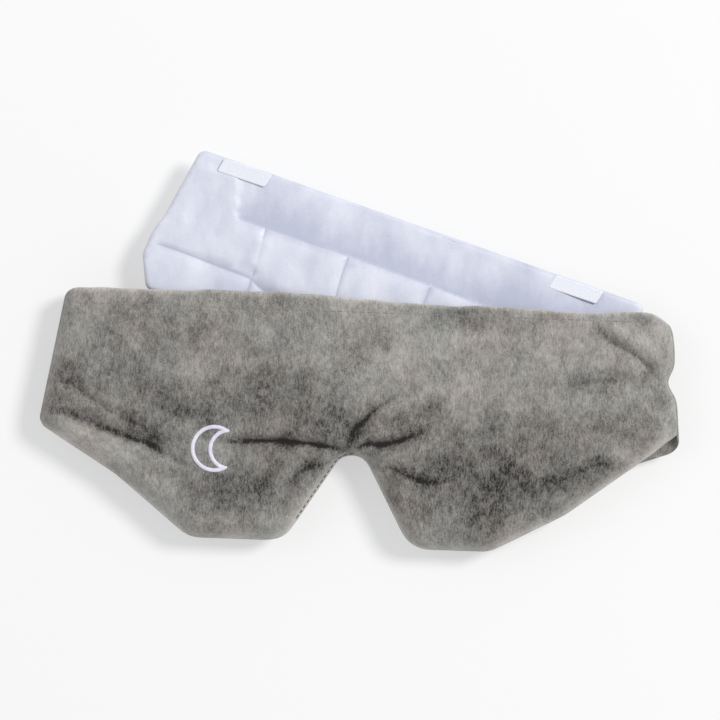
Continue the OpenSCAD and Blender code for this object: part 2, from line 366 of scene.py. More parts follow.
class Nodes:
    """A short way to write a material's node tree."""

    def __init__(self, name, **shader_values):
        self.material = bpy.data.materials.new(name)
        self.material.use_nodes = True
        self.tree = self.material.node_tree
        self.shader = self.tree.nodes["Principled BSDF"]
        self.put(self.shader, shader_values)

    def put(self, node, values):
        """Sets a node's properties and its inputs' values, both by name."""
        for key, value in values.items():
            if key in node.bl_rna.properties:
                setattr(node, key, value)
            else:
                node.inputs[key.replace("_", " ")].default_value = value

    def add(self, kind, **values):
        node = self.tree.nodes.new(kind)
        self.put(node, values)
        return node

    def link(self, source, target, socket):
        output = source if isinstance(source, bpy.types.NodeSocket) else source.outputs[0]
        self.tree.links.new(output, target.inputs[socket])

    def coords(self, scale=(1, 1, 1), turn=0):
        mapping = self.add("ShaderNodeMapping", Scale=scale, Rotation=(0, 0, turn))
        self.link(self.add("ShaderNodeTexCoord").outputs["Object"], mapping, "Vector")
        return mapping

    def noise(self, feature_mm, detail=3, scale=(1, 1, 1), turn=0, roughness=0.55):
        """Noise with features of a given size; `scale` squeezes them along an axis."""
        node = self.add("ShaderNodeTexNoise", Scale=1 / (feature_mm * MM), Detail=detail,
                        Roughness=roughness)
        self.link(self.coords(scale, turn), node, "Vector")
        return node.outputs["Fac"]

    def maths(self, operation, a, b):
        node = self.add("ShaderNodeMath", operation=operation)
        for socket, value in enumerate((a, b)):
            if isinstance(value, (int, float)):
                node.inputs[socket].default_value = value
            else:
                self.link(value, node, socket)
        return node.outputs[0]

    def spread(self, value, low, high):
        """Stretches low..high of a value to 0..1."""
        node = self.add("ShaderNodeMapRange", From_Min=low, From_Max=high)
        self.link(value, node, "Value")
        return node.outputs[0]

    def layered(self, tone, margin, *patterns):
        """A tone plus each pattern's share of it; a pattern counts from margin to 1 - margin."""
        for pattern, share in patterns:
            part = self.maths("MULTIPLY", self.spread(pattern, margin, 1 - margin), share)
            tone = self.maths("ADD", part, tone)
        return tone

    def darkened(self, tone, share=1.0):
        """A tone less the mesh's own shade."""
        shade = self.add("ShaderNodeAttribute", attribute_name="shade").outputs["Fac"]
        return self.maths("SUBTRACT", tone, self.maths("MULTIPLY", shade, share))

    def mix(self, factor, dark, light, **values):
        node = self.add("ShaderNodeMix", data_type="RGBA", **values)
        if isinstance(factor, float):
            node.inputs[0].default_value = factor
        else:
            self.link(factor, node, 0)
        for side, value in zip([s for s in node.inputs if s.type == "RGBA"], (dark, light)):
            if isinstance(value, tuple):
                side.default_value = (*value, 1)
            else:
                self.tree.links.new(value, side)
        return next(s for s in node.outputs if s.type == "RGBA")

    def bump(self, height, depth_mm, strength, below=None):
        node = self.add("ShaderNodeBump", Strength=strength, Distance=depth_mm * MM)
        self.link(height, node, "Height")
        if below is not None:
            self.link(below, node, "Normal")
        return node.outputs[0]

    def done(self, colour, normal):
        """The material with its colour and its relief joined on."""
        self.link(colour, self.shader, "Base Color")
        self.link(normal, self.shader, "Normal")
        return self.material


def plush_material(name, dark, light, shaded=True):
    """Short dense pile: blotchy nap, fine upright streaks and a soft pale rim, a sheen painted into its
    colour by the angle of view.
    """
    m = Nodes(name, Roughness=0.95, Specular_IOR_Level=0.15, Sheen_Weight=0.25, Sheen_Roughness=0.45,
              Sheen_Tint=(0.9, 0.88, 0.86, 1))
    nap = m.noise(15, detail=3, scale=(0.6, 1, 1), roughness=0.5)
    brushed = m.noise(2.6, detail=2, scale=(1, 0.7, 1), turn=0.3)
    streaks = m.noise(0.8, detail=2, scale=(1, 0.32, 1), turn=0.12, roughness=0.75)
    fibres = m.noise(0.42, detail=1, scale=(1, 0.5, 1), turn=-0.2, roughness=0.8)
    tone = m.layered(0.105, 0.35, (nap, 0.12), (brushed, 0.14), (streaks, 0.18), (fibres, 0.15))
    if shaded:
        tone = m.darkened(tone, 0.75)
    # Painted sheen: the tone gets lighter where the surface turns away from the view.
    facing = m.add("ShaderNodeLayerWeight", Blend=0.32).outputs["Facing"]
    tone = m.maths("ADD", tone, m.maths("MULTIPLY", facing, 0.25))
    hue = m.spread(m.noise(26, detail=2), 0.35, 0.65)
    tint = m.mix(hue, (0.97, 1.0, 0.985), (1.03, 0.99, 0.975))
    colour = m.mix(1.0, m.mix(tone, dark, light), tint, blend_type="MULTIPLY")
    streaky = m.bump(streaks, 0.45, 0.6, m.bump(brushed, 0.6, 0.4))
    return m.done(colour, m.bump(fibres, 0.25, 0.6, streaky))


def wave(m, direction, scale, **values):
    """Straight even stripes across one direction."""
    node = m.add("ShaderNodeTexWave", bands_direction=direction, Scale=scale, **values)
    m.link(m.coords(), node, "Vector")
    return node.outputs["Fac"]


def woven_material(name, dark, light, pitch_mm):
    """A plain weave: two sets of threads, with slow changes of tone."""
    m = Nodes(name, Roughness=0.8, Sheen_Weight=0.1)
    scale = math.pi * 0.1 / (pitch_mm * MM)
    warp, weft = (wave(m, axis, scale, Distortion=0.6, Detail_Scale=2.0) for axis in ("X", "Y"))
    weave = m.maths("MULTIPLY", warp, weft)
    tone = m.layered(m.maths("MULTIPLY", weave, 0.35), 0.3,
                     (m.noise(16, detail=3), 0.45), (m.noise(1.2, detail=2), 0.2))
    return m.done(m.mix(tone, dark, light), m.bump(weave, 0.05, 0.8))


def satin_material(name, dark, light, turn):
    """Satin: fine close threads along the insert, soft wrinkles and a gentle gloss, with the light and
    shade of its soft folds painted into its tone.
    """
    m = Nodes(name, Roughness=0.42, Sheen_Weight=0.15)
    soft = m.noise(13, detail=3, scale=(1, 0.6, 1), turn=turn)
    wrinkles = m.noise(5, detail=4, scale=(1, 0.4, 1), turn=turn, roughness=0.5)
    threads = m.noise(0.35, detail=1, scale=(0.2, 1, 1), turn=turn)
    # The soft and wrinkle noises paint the light and shade of soft folds into the tone, and the mesh's
    # painted shade darkens it.
    tone = m.darkened(m.layered(0.16, 0.3, (soft, 0.44), (threads, 0.12), (wrinkles, 0.12)))
    relief = m.bump(threads, 0.06, 0.5, m.bump(wrinkles, 0.9, 0.2))
    return m.done(m.mix(tone, dark, light), relief)


def thread_material(name, dark, light, roughness=0.45):
    """Twisted thread: thin diagonal plies with a soft shine."""
    m = Nodes(name, Roughness=roughness, Sheen_Weight=0.2)
    plies = wave(m, "DIAGONAL", 620.0, Distortion=1.5)
    tone = m.layered(m.maths("MULTIPLY", plies, 0.5), 0.3, (m.noise(1.5), 0.5))
    return m.done(m.mix(tone, dark, light), m.bump(plies, 0.08, 0.6))


def tape_material(name, dark, light, pitch_mm, depth=0.35):
    """Hook or loop tape: a ground of tiny cells, each a hook or a tuft."""
    m = Nodes(name, Roughness=0.6)
    cells = m.add("ShaderNodeTexVoronoi", Scale=1 / (pitch_mm * MM), Randomness=0.35)
    m.link(m.coords(), cells, "Vector")
    away = cells.outputs["Distance"]
    tone = m.maths("ADD", m.spread(away, 0.7, 0.1), m.maths("MULTIPLY", m.noise(2.5), 0.3))
    return m.done(m.mix(tone, dark, light), m.bump(m.spread(away, 0.7, 0.0), depth, 0.8))


# How far the insert is swung out of the pocket
SWING = math.radians(16.8)
PILE = (0.022, 0.021, 0.0195), (0.62, 0.595, 0.565)
PLUSH = plush_material("plush", *PILE)
PLUSH_WING = plush_material("plush_wing", *PILE, shaded=False)
LINING = woven_material("lining", (0.22, 0.21, 0.20), (0.36, 0.35, 0.335), 0.9)
SATIN = satin_material("satin", (0.50, 0.53, 0.66), (0.86, 0.87, 0.95), -SWING)
THREAD_LIGHT = thread_material("thread_light", (0.60, 0.58, 0.72), (0.88, 0.87, 0.95))
THREAD_DARK = thread_material("thread_dark", (0.03, 0.03, 0.03), (0.10, 0.10, 0.10), 0.7)
THREAD_TONAL = thread_material("thread_tonal", (0.16, 0.155, 0.15), (0.30, 0.29, 0.28), 0.7)
THREAD_SATIN = thread_material("thread_satin", (0.56, 0.58, 0.70), (0.78, 0.79, 0.90))
TAPE_WHITE = tape_material("tape_white", (0.74, 0.76, 0.85), (0.88, 0.89, 0.95), 0.6, depth=0.1)
TAPE_GREY = tape_material("tape_grey", (0.07, 0.07, 0.07), (0.22, 0.215, 0.21), 1.1)


# ---------- the cover's height ----------

FRONT = to_fold_line(resample(node_loops("front_panel")[0], 1.0), LEFT, RIGHT)


def fold_depth(points):
    """Distance to the nearer fold line."""
    return np.minimum(*(fold_coords(points, fold)[1] for fold in (LEFT, RIGHT)))


def edge_segments():
    """The sewn stretch of the front's outline, and the stretch along its open mouth."""
    a, b = segments(FRONT, closed=True)
    middle = (a + b) / 2
    free = fold_depth(middle) >= 0.15
    low = middle[:, 1] < MOUTH_Y - 9
    return [(a[kept], b[kept]) for kept in (free & low, free & ~low)]


SEWN, MOUTH = edge_segments()


def from_sewn(points):
    return distance(points, *SEWN)[0]


def from_mouth(points):
    return distance(points, *MOUTH)[0]


# Dents and, with a negative depth, ridges of the plush: depth and width in mm, and the line. The depth
# also sets the painted shade in a dent and the painted highlight on a ridge.
CREASES = [
    (1.1, 2.2, [(-129, -41), (-120, -43.5), (-113, -49), (-104, -54), (-94, -59), (-82, -64)]),
    (1.6, 3.2, [(-134, -53), (-120, -57), (-103.5, -63.5), (-87, -69), (-77.5, -74), (-67, -79)]),
    (-0.9, 3.0, [(-125, -63), (-108, -68), (-92, -73), (-80, -80)]),
    (0.6, 2.2, [(-93, -46), (-83, -51), (-71.5, -56), (-64, -56)]),
    (2.0, 1.7, [(-52, -66.5), (-34, -65.5), (-20, -65.5), (-6.5, -67), (1.4, -69)]),
    (-0.7, 2.6, [(-44, -61), (-30, -60.5), (-14, -61), (-3, -63)]),
    (1.5, 1.8, [(2.6, -69), (1.9, -64.6), (4.3, -59), (8.6, -54.5), (14, -49), (22, -43)]),
    (1.8, 1.8, [(5, -67), (10, -65), (16, -65), (21, -64), (27, -62), (33, -59)]),
    (1.3, 1.7, [(15, -76), (20.5, -75), (27, -78), (37, -81), (48.5, -80)]),
    (1.3, 1.8, [(-7.4, -74), (-16, -76.5), (-21.6, -81), (-26, -86)]),
    (0.7, 1.8, [(-60.5, -82.5), (-56, -86), (-52.5, -89)]),
    (1.6, 2.4, [(108, -7.5), (116, -15), (127, -21), (135, -28), (140, -32)]),
    (0.6, 4.0, [(30, -8), (42, -9), (52, -10), (63, -14), (72, -17)]),
    (1.1, 2.0, [(87, -78), (98.5, -77), (107, -72), (115, -70), (122, -72)]),
    (0.7, 2.0, [(109, -53), (118, -56), (129, -58)]),
    (0.7, 2.2, [(92.5, -34), (108, -34), (125, -31)]),
    (0.9, 1.8, [(120, -2), (127, -4.6), (132, -6.7)]),
    (-0.7, 4.0, [(10, -59), (20, -50), (36, -36), (59, -27)]),
    (-0.7, 4.5, [(34, -54), (51, -44), (75, -31), (91, -24)]),
    (1.0, 2.8, [(30, -54), (37, -48), (45, -44)]),
    (-0.9, 2.2, [(131, -43), (136.5, -50), (142, -55)]),
    (-0.9, 2.2, [(142, -54), (137, -59), (133, -66)]),
]

# Patches of brushed pile together with painted shade and painted highlights: x, y, half width, half
# height, turn in degrees and how much darker they look
PATCHES = [
    (56, -78, 40, 15, 4, 0.36), (-16, -56, 42, 11, -3, 0.34), (-34, -44, 27, 10, 0, 0.20),
    (72, -93, 26, 8, 20, 0.30), (-108, -2, 22, 6, 0, -0.14), (134, -25, 8, 8, 0, -0.18),
    (-127, -36, 12, 9, -30, 0.18), (-81, -65, 14, 5, -24, 0.26), (-104, -74, 30, 4, -33, -0.20),
    (-71, -54, 12, 6, -25, 0.24), (-100, -38, 26, 6, -8, 0.12), (-98, -6, 20, 8, 0, 0.10),
    (-58, -84, 24, 8, 0, 0.18), (44, -17, 27, 8, 12, -0.28), (4, -4, 16, 14, 0, -0.22),
    (114, -10, 28, 15, 0, -0.16), (88, -54, 28, 7, 4, 0.16), (122, -49, 8, 7, 0, 0.22),
    (20, -30, 26, 8, 10, -0.08), (96, -44, 22, 8, 0, -0.10), (44, -66, 14, 4, 12, -0.16),
    (50, -7, 12, 3, -8, 0.12), (71, -30, 9, 4, 30, 0.10), (-84, -98, 16, 5, -35, -0.16),
    (-32, -85, 8, 8, 0, 0.18), (-45, -95, 20, 7, 0, 0.18), (133, -60, 5, 6, -40, 0.22),
]
# The pile stands up along the sewn edge and the mouth; a painted highlight makes it paler there
RIM_SHADE, RIM_W, MOUTH_RIM_W = -0.34, 2.4, 1.6

# The mouth's edge rises and falls a little: x, and how far up or down
MOUTH_EDGE = [(-126, -0.4), (-112, 0.3), (-80, 0.2), (-45, 1.2), (-15, 0.6), (5, -1.0), (35, -1.6),
              (70, -1.2), (90, -1.6), (104, -1.9), (118, -0.7), (132, -0.2), (140, 0.0)]
# The right fold is pushed in at one place: how far down, how far in, and half its height
DENT_Y, DENT_DEPTH, DENT_H = -33.0, 3.6, 5.5
# The top corner beside the right fold is rounder than its seams: how far it is pulled in, and
# over what distance
CORNER_PULL, CORNER_REACH = 3.8, 8.0
# The left lobe is a little shallower than the right one: how far its edge lies higher
LOBE_RISE = 1.8


def crease_lift(points):
    """How far all creases lift or lower the plush, and how much painted shade lies in a dent and painted
    highlight on a ridge.
    """
    lift, dark = np.zeros((2, len(points)))
    for depth, width, places in CREASES:
        line = smooth_line(cover(places))
        reach = 4 * width
        near = np.all((points > line.min(0) - reach) & (points < line.max(0) + reach), axis=1)
        if not near.any():
            continue
        d, along = distance(points[near], *segments(line))
        share = along / np.linalg.norm(np.diff(line, axis=0), axis=1).sum()
        fade = np.sin(math.pi * np.clip(0.06 + 0.88 * share, 0, 1)) ** 0.7
        core = np.exp(-(d / width) ** 2)
        swell = np.exp(-((d - 2 * width) / (1.2 * width)) ** 2)
        lift[near] += depth * fade * (0.35 * swell - core)
        # Painted shade in the crease's hollow: a narrow dark core and a broader soft band.
        dark[near] += 0.13 * depth ** 2 * fade * np.exp(-(d / (0.5 * width)) ** 2)
        dark[near] += 0.13 * depth * fade * np.exp(-(d / (1.8 * width)) ** 2)
    return lift, dark


def patch_shade(points):
    """How much darker the patches of brushed pile, painted shade and painted highlights look, with ragged
    borders.
    """
    ragged = points + 2.6 * np.column_stack([waves(points, 8, 6), waves(points, 8, 7)])
    dark = 0.05 * waves(points, 22, 5) + 0.05 * waves(points, 7, 8)
    for x, y, half_w, half_h, turn, amount in PATCHES:
        along = np.array([math.cos(math.radians(turn)), math.sin(math.radians(turn))])
        away = ragged - cover((x, y))
        across = away @ np.array([-along[1], along[0]])
        dark += amount * np.exp(-(away @ along / half_w) ** 2 - (across / half_h) ** 2)
    return dark


def mouth_shift(points):
    """How far the wavy mouth edge moves a point up, fading towards the middle and the folds."""
    x, amounts = np.array(MOUTH_EDGE).T
    shift = np.interp(points[:, 0] - NOSE_X, x, amounts) + 0.25 * waves(points[:, :1] * (1, 0), 9, 11)
    fade = np.exp(-from_mouth(points) / 9) * smoothstep((fold_depth(points) - FOLD_R) / 8)
    return shift * fade


def dent_shift(points):
    """How far the dent in the right fold moves a point inward."""
    up, depth = fold_coords(points, RIGHT)
    middle = (MOUTH_Y + DENT_Y - RIGHT.at[1]) / RIGHT.up[1]
    return DENT_DEPTH * np.exp(-((up - middle) / DENT_H) ** 2 - (depth / 7) ** 2)


def dented(points):
    """Points beside the right fold where its dent and its round top corner leave them."""
    up, depth = fold_coords(points, RIGHT)
    top = (MOUTH_Y - RIGHT.at[1]) / RIGHT.up[1]
    pull = CORNER_PULL * np.exp(-((up - top) ** 2 + depth ** 2) / CORNER_REACH ** 2)
    corner = pull[:, None] * (0.75 * RIGHT.inward - 0.65 * RIGHT.up)
    return points + dent_shift(points)[:, None] * RIGHT.inward + corner


def lobe_shift(points):
    """How far the left lobe's lower part lies higher than its CAD outline."""
    down = MOUTH_Y - points[:, 1]
    return LOBE_RISE * smoothstep((down - 55) / 36) * smoothstep((NOSE_X - 20 - points[:, 0]) / 14)


def moved(points):
    """Points of the front where its wavy mouth, its left lobe and its dented fold leave them."""
    return dented(points) + (mouth_shift(points) + lobe_shift(points))[:, None] * (0, 1)


def front_top(points):
    """Height of the plush's outer face, in mm."""
    rounded = profile(from_sewn(points), SEWN_R) * profile(fold_depth(points), FOLD_R)
    lift = crease_lift(points)[0]
    lift += 0.40 * waves(points, 26, 1) + 0.22 * waves(points, 9, 2) + 0.07 * waves(points, 3.5, 3)
    return MID_Z + ((TOP_Z - MID_Z) + lift) * rounded


def face_low(points):
    """Height of the lining's outer face, in mm."""
    sewn = profile(from_sewn(points), SEWN_R)
    drop = (MID_Z - FACE_Z) * sewn * profile(fold_depth(points), FOLD_R)
    return MID_Z - drop + 0.08 * waves(points, 18, 21) * sewn


def front_shade(points):
    """Painted shade on the plush, how much darker than its even tone it looks: shade in the creases,
    brushed patches with painted shade and painted highlights, and a painted pale rim along its edges and
    folds; a pale place is below 0.
    """
    turn = fold_depth(points)
    rim = np.exp(-(from_sewn(points) / RIM_W) ** 2) + np.exp(-(from_mouth(points) / MOUTH_RIM_W) ** 2)
    shade = crease_lift(points)[1] + patch_shade(points) + RIM_SHADE * rim
    # Painted highlight: a pale rim along the fold lines.
    return shade * smoothstep(turn / 6) + 0.4 * RIM_SHADE * np.exp(-(turn / RIM_W) ** 2)


# ---------- cover front ----------

def build_panel(part, node, material, start, full_t, outer, side, spacing, shade=None):
    """One panel of the pouch, rounded off to the two fold lines. `outer` gives the height of its
    outer face, which is its upper face for side 1 and its lower one for side -1."""
    loop = cut_at(cut_at(FRONT, LEFT, start), RIGHT, start)
    points, faces = fill(resample(loop, 1.0), spacing)
    half = full_t / 2 * profile(from_sewn(points), 1.6) * profile(fold_depth(points), 2.0)
    middle = outer(points) - side * half
    half = half * profile(from_mouth(points), full_t / 2)
    shape = closed(moved(points), faces, middle + half, middle - half)
    colour = None if shade is None else np.tile(shade(points), 2)
    make_mesh(f"cover_{part}", shape, material, "cover_front", [node], colour)


def cord(line, sizes, half_w, half_h, sides=8):
    """Verts and faces of a closed cord along a 3-D line, scaled by `sizes` along its length."""
    tangent = np.gradient(line, axis=0)
    side = np.cross(tangent, (0, 0, 1))
    side /= np.linalg.norm(side, axis=1)[:, None]
    up = np.cross(side, tangent / np.linalg.norm(tangent, axis=1)[:, None])
    turns = np.linspace(0, 2 * math.pi, sides, endpoint=False)[None, :, None]
    across = half_w * np.cos(turns) * side[:, None] + half_h * np.sin(turns) * up[:, None]
    rings = line[:, None] + sizes[:, None, None] * across
    faces = grid_faces(len(line), sides, wrap_columns=True)
    faces += [tuple(range(sides))[::-1], tuple((len(line) - 1) * sides + j for j in range(sides))]
    return rings.reshape(-1, 3), faces


# A stitch's thickness along its length: share of the length, share of the full thickness
STITCH_SHARES = np.array([0, 0.12, 0.35, 0.65, 0.88, 1])
STITCH_SIZES = np.array([0.25, 0.75, 1, 1, 0.75, 0.25])


def stitches(line, length, gap, width, height):
    """Verts and faces of a row of stitches along a 3-D line, each a small rounded grain."""
    starts = np.concatenate([[0], np.cumsum(np.linalg.norm(np.diff(line, axis=0), axis=1))])
    parts = []
    for i in range(int(starts[-1] // (length + gap))):
        ends = i * (length + gap) + np.array([0, length])
        a, b = np.column_stack([np.interp(ends, starts, line[:, k]) for k in range(3)])
        parts.append(cord(a + (b - a) * STITCH_SHARES[:, None], STITCH_SIZES, width / 2, height / 2))
    return join_parts(parts)


def join_parts(parts):
    """Several (verts, faces) as one."""
    verts, faces, n = [], [], 0
    for part_verts, part_faces in parts:
        verts.append(part_verts)
        faces += [tuple(v + n for v in f) for f in part_faces]
        n += len(part_verts)
    return np.vstack(verts), faces


def sewn_line():
    """The sewn edge as one line, from the left fold round the lobes to the right fold."""
    a = SEWN[0]
    gaps = np.linalg.norm(np.diff(a, axis=0), axis=1)
    start = int(np.argmax(gaps)) + 1 if gaps.max() > 5 else 0
    return np.vstack([a[start:], a[:start]])


def inset_line(line, depth):
    """A line moved to its left by `depth`."""
    tangent = np.gradient(line, axis=0)
    tangent /= np.linalg.norm(tangent, axis=1)[:, None]
    return line + depth * np.column_stack([-tangent[:, 1], tangent[:, 0]])


def build_edge_seam():
    """The turned edge: a thin roll of plush where front and lining meet."""
    line = inset_line(resample(sewn_line(), 1.2, closed=False), 0.55)
    z = MID_Z + 0.12 * waves(line, 12, 31)
    from_end = np.minimum(np.arange(len(line)), np.arange(len(line))[::-1])
    taper = np.minimum(1, from_end / 3 + 0.25)
    make_mesh("edge_seam_roll", cord(np.column_stack([moved(line), z]), taper, 0.7, 0.7), PLUSH_WING,
              "cover_front", ["edge_seam"])


def build_nose_stitches():
    """Dark stitches round the nose arch, just inside its sewn edge."""
    low, high = box_mm("nose_seam_stitch")
    line = sewn_line()
    near = (line[:, 0] > low[0] - 1) & (line[:, 0] < high[0] + 1) & (line[:, 1] > low[1])
    arch = resample(inset_line(line[near], 0.75), 0.5, closed=False)
    arch = arch[arch[:, 0] < NOSE_X + 5]
    row = np.column_stack([moved(arch), front_top(arch) + 0.05])
    make_mesh("nose_arch_stitches", stitches(row, 1.9, 0.8, 0.7, 0.5), THREAD_DARK,
              "cover_front", ["nose_seam_stitch"])


def build_mouth_stitches():
    """Tonal stitches along both hems of the mouth."""
    low, high = box_mm("mouth_hem_stitch")
    x = np.arange(low[0], high[0], 0.8)
    line = np.column_stack([x, np.full(len(x), MOUTH_Y - HEM_DEPTH)])
    parts = [stitches(np.column_stack([line, z]), 2.4, 0.9, 0.5, 0.25)
             for z in (front_top(line) + 0.02, np.full(len(x), FACE_Z + 0.02))]
    make_mesh("mouth_hem_stitches", join_parts(parts), THREAD_TONAL,
              "cover_front", ["mouth_hem_stitch"])


def build_moon():
    """The satin-stitched crescent: a domed line of close cross threads."""
    outer, inner = (resample(loop, 0.22) for loop in node_loops("moon_embroidery")[:2])
    points, faces = fill(outer, 0.24, rings=(0.1, 0.22), holes=(inner,))
    d_out, along = distance(points, *segments(outer, closed=True))
    dome = profile(np.minimum(d_out, loop_distance(points, inner)), 0.85)
    ridges = 0.5 + 0.5 * np.cos(2 * math.pi * (along + 0.35 * d_out) / 0.62)
    base = front_top(points)
    top = base + 0.05 + 0.62 * dome * (0.82 + 0.18 * ridges)
    make_mesh("moon_embroidery_thread", closed(points, faces, top, base - 0.4), THREAD_LIGHT,
              "cover_front", ["moon_embroidery"])


def rounded_rectangle(low, high, radius, step=0.8):
    (x0, y0), (x1, y1) = low[:2], high[:2]
    corners = [(x1 - radius, y1 - radius, 0), (x0 + radius, y1 - radius, 90),
               (x0 + radius, y0 + radius, 180), (x1 - radius, y0 + radius, 270)]
    points = []
    for x, y, start in corners:
        for turn in np.radians(np.linspace(start, start + 90, 5)):
            points.append((x + radius * math.cos(turn), y + radius * math.sin(turn)))
    return resample(np.array(points), step)


def tape_patch(loop, z_low, z_high, pitch, face_up, bump=0.16):
    """Verts and faces of a tape patch: a rounded slab whose face carries rows of small bumps."""
    points, faces = fill(loop, pitch / 2, rings=(0.2, 0.5))
    edge = loop_distance(points, loop)
    waves_x, waves_y = np.cos(2 * math.pi * points.T / pitch)
    bumps = 0.5 - 0.5 * waves_x * waves_y
    half = (z_high - z_low) / 2 * (0.55 + 0.45 * profile(edge, 0.5))
    middle = (z_low + z_high) / 2
    relief = bump * bumps * smoothstep((edge - 0.7) / 0.6)
    top = middle + half - (relief if face_up else 0)
    bottom = middle - half + (0 if face_up else relief)
    return closed(points, faces, top, bottom)


def build_pocket_tabs():
    """The two loop patches under the front, inside the pocket."""
    low, high = box_mm("pocket_loop_tabs")
    parts = [tape_patch(rounded_rectangle(loop.min(0), loop.max(0), 1), low[2], high[2], 1.0, False)
             for loop in node_loops("pocket_loop_tabs")]
    make_mesh("pocket_loop_patches", join_parts(parts), TAPE_WHITE, "cover_front",
              ["pocket_loop_tabs"])


# ---------- wings ----------

def wing_rim(loop, fold):
    """The wing's outline without its fold line."""
    a, b = segments(loop, closed=True)
    keep = fold_coords((a + b) / 2, fold)[1] > 0.15
    return a[keep], b[keep]


def wing_heights(points, fold, rim, seed):
    """Middle and half thickness of a wing: it hangs from the fold line and thins to its edge."""
    turned = profile(fold_coords(points, fold)[1], FOLD_R)
    edge = profile(distance(points, *rim)[0], 3.2)
    middle = WING_MID_Z * turned + MID_Z * (1 - turned)
    half = WING_HALF_T * edge * turned * (1 + 0.05 * waves(points, 14, seed))
    return middle, half


def build_wing(side, fold, seed):
    """One wing: its plush face with the padding behind it, and its lining."""
    loop = to_fold_line(resample(node_loops(f"{side}_wing_outer")[0], 0.6), fold)
    rim = wing_rim(loop, fold)
    split = 0.35
    layers = (("plush", (-1, split), PLUSH_WING, FOLD_START, ("outer", "padding")),
              ("lining", (split, 1), LINING, WING_LINING_START, ("lining",)))
    for part, shares, material, start, stands_for in layers:
        points, faces = fill(resample(cut_at(loop, fold, start), 1.0), 1.7)
        middle, half = wing_heights(points, fold, rim, seed)
        low, high = (middle + share * half for share in shares)
        make_mesh(f"{side}_wing_{part}_face", closed(dented(points), faces, high, low), material,
                  f"{side}_wing", [f"{side}_wing_{name}" for name in stands_for])
    return loop, rim


# The strip round a fold line: where it starts on the front's round edge, in degrees, and its
# thickness and distance outside the plush in mm
STRIP_TURN, STRIP_T, STRIP_LIFT = 66, 0.7, 0.12


def limits(loop, fold, depth):
    """Lowest and highest place along the fold at which the outline has a given depth."""
    s, d = fold_coords(loop, fold)
    s1, d1 = np.roll(s, -1), np.roll(d, -1)
    hit = (np.minimum(d, d1) <= depth) & (np.maximum(d, d1) >= depth) & (np.abs(d1 - d) > 1e-9)
    at = s[hit] + (s1 - s)[hit] * (depth - d[hit]) / (d1 - d)[hit]
    return at.min(), at.max()


def build_fold_strip(side, fold, loop, rim, seed):
    """A strip of plush round the fold line, which closes the joint between front and wing."""
    rows = 56
    share = np.linspace(0, 1, rows)
    depths = FOLD_R * (1 - np.sin(np.radians(np.linspace(STRIP_TURN, 90, 9))))
    columns = []
    for depth, on_front in [(d, True) for d in depths] + [(d, False) for d in depths[-2::-1]]:
        ends = limits(FRONT if on_front else loop, fold, max(depth, FOLD_START))
        s = ends[0] + 0.6 + (ends[1] - ends[0] - 1.2) * share
        xy = fold.at + s[:, None] * fold.up + depth * fold.inward
        if on_front:
            z = front_top(xy)
        else:
            middle, half = wing_heights(xy, fold, rim, seed)
            z = middle - half
        columns.append(np.column_stack([dented(xy) - STRIP_LIFT * fold.inward, z]))
    points = np.stack(columns, axis=1)
    from_edge = np.minimum(np.arange(len(columns)), np.arange(len(columns))[::-1])
    end_t = STRIP_T * np.maximum(profile(np.minimum(share, 1 - share), 0.02), 0.2)
    thickness = np.minimum.outer(end_t, STRIP_T * np.minimum(0.2 + from_edge / 3, 1))
    if side == "right":
        points, thickness = points[:, ::-1], thickness[:, ::-1]
    piece = make_mesh(f"{side}_fold_plush", thick_grid(points, thickness), PLUSH_WING)
    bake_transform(piece)


def stitched_box(node, z, body, length=2.4, gap=0.9):
    """A row of dark stitches round the rectangle that a CAD node fills."""
    low, high = box_mm(node)
    loop = rounded_rectangle(low + 0.3, high - 0.3, 0.6, 0.6)
    loop = np.vstack([loop, loop[:1]])
    line = np.column_stack([loop, np.full(len(loop), z)])
    make_mesh(f"{node}es", stitches(line, length, gap, 0.55, 0.3), THREAD_DARK, body, [node])


def build_grey_tape(name, node, pitch, body):
    """A hook or loop tape, facing down, and the stitches that hold it."""
    low, high = box_mm(node)
    make_mesh(name, tape_patch(rounded_rectangle(low, high, 2), low[2], high[2], pitch, False),
              TAPE_GREY, body, [node])
    thread_low, thread_high = box_mm(f"{node}_stitch")
    stitched_box(f"{node}_stitch", (thread_low[2] + thread_high[2]) / 2, body)


# ---------- closure tab ----------

def build_tab():
    """The closure tab: plush outside, lining inside, hook tape, and its sewn root on the wing."""
    loop = resample(node_loops("closure_tab_outer")[0], 0.9)
    points, faces = fill(loop, 1.5, rings=(0.25, 0.7, 1.4))
    edge = profile(loop_distance(points, loop), 2.0)
    low, middle = (corner[2] for corner in box_mm("closure_tab_lining"))
    high = box_mm("closure_tab_outer")[1][2]
    middle = np.full(len(points), middle + 0.02)
    top = middle + (high - middle) * edge * (1 - 0.05 * (1 + waves(points, 10, 41)))
    bottom = middle - (middle - low) * edge
    for part, node, upper, lower, material in (("plush", "closure_tab_outer", top, middle, PLUSH_WING),
                                               ("lining", "closure_tab_lining", middle, bottom, LINING)):
        make_mesh(f"closure_tab_{part}_face", closed(points, faces, upper, lower), material,
                  "closure_tab", [node])
    build_grey_tape("hook_tape_strip", "hook_strip", 1.0, "closure_tab")
    build_tab_root()


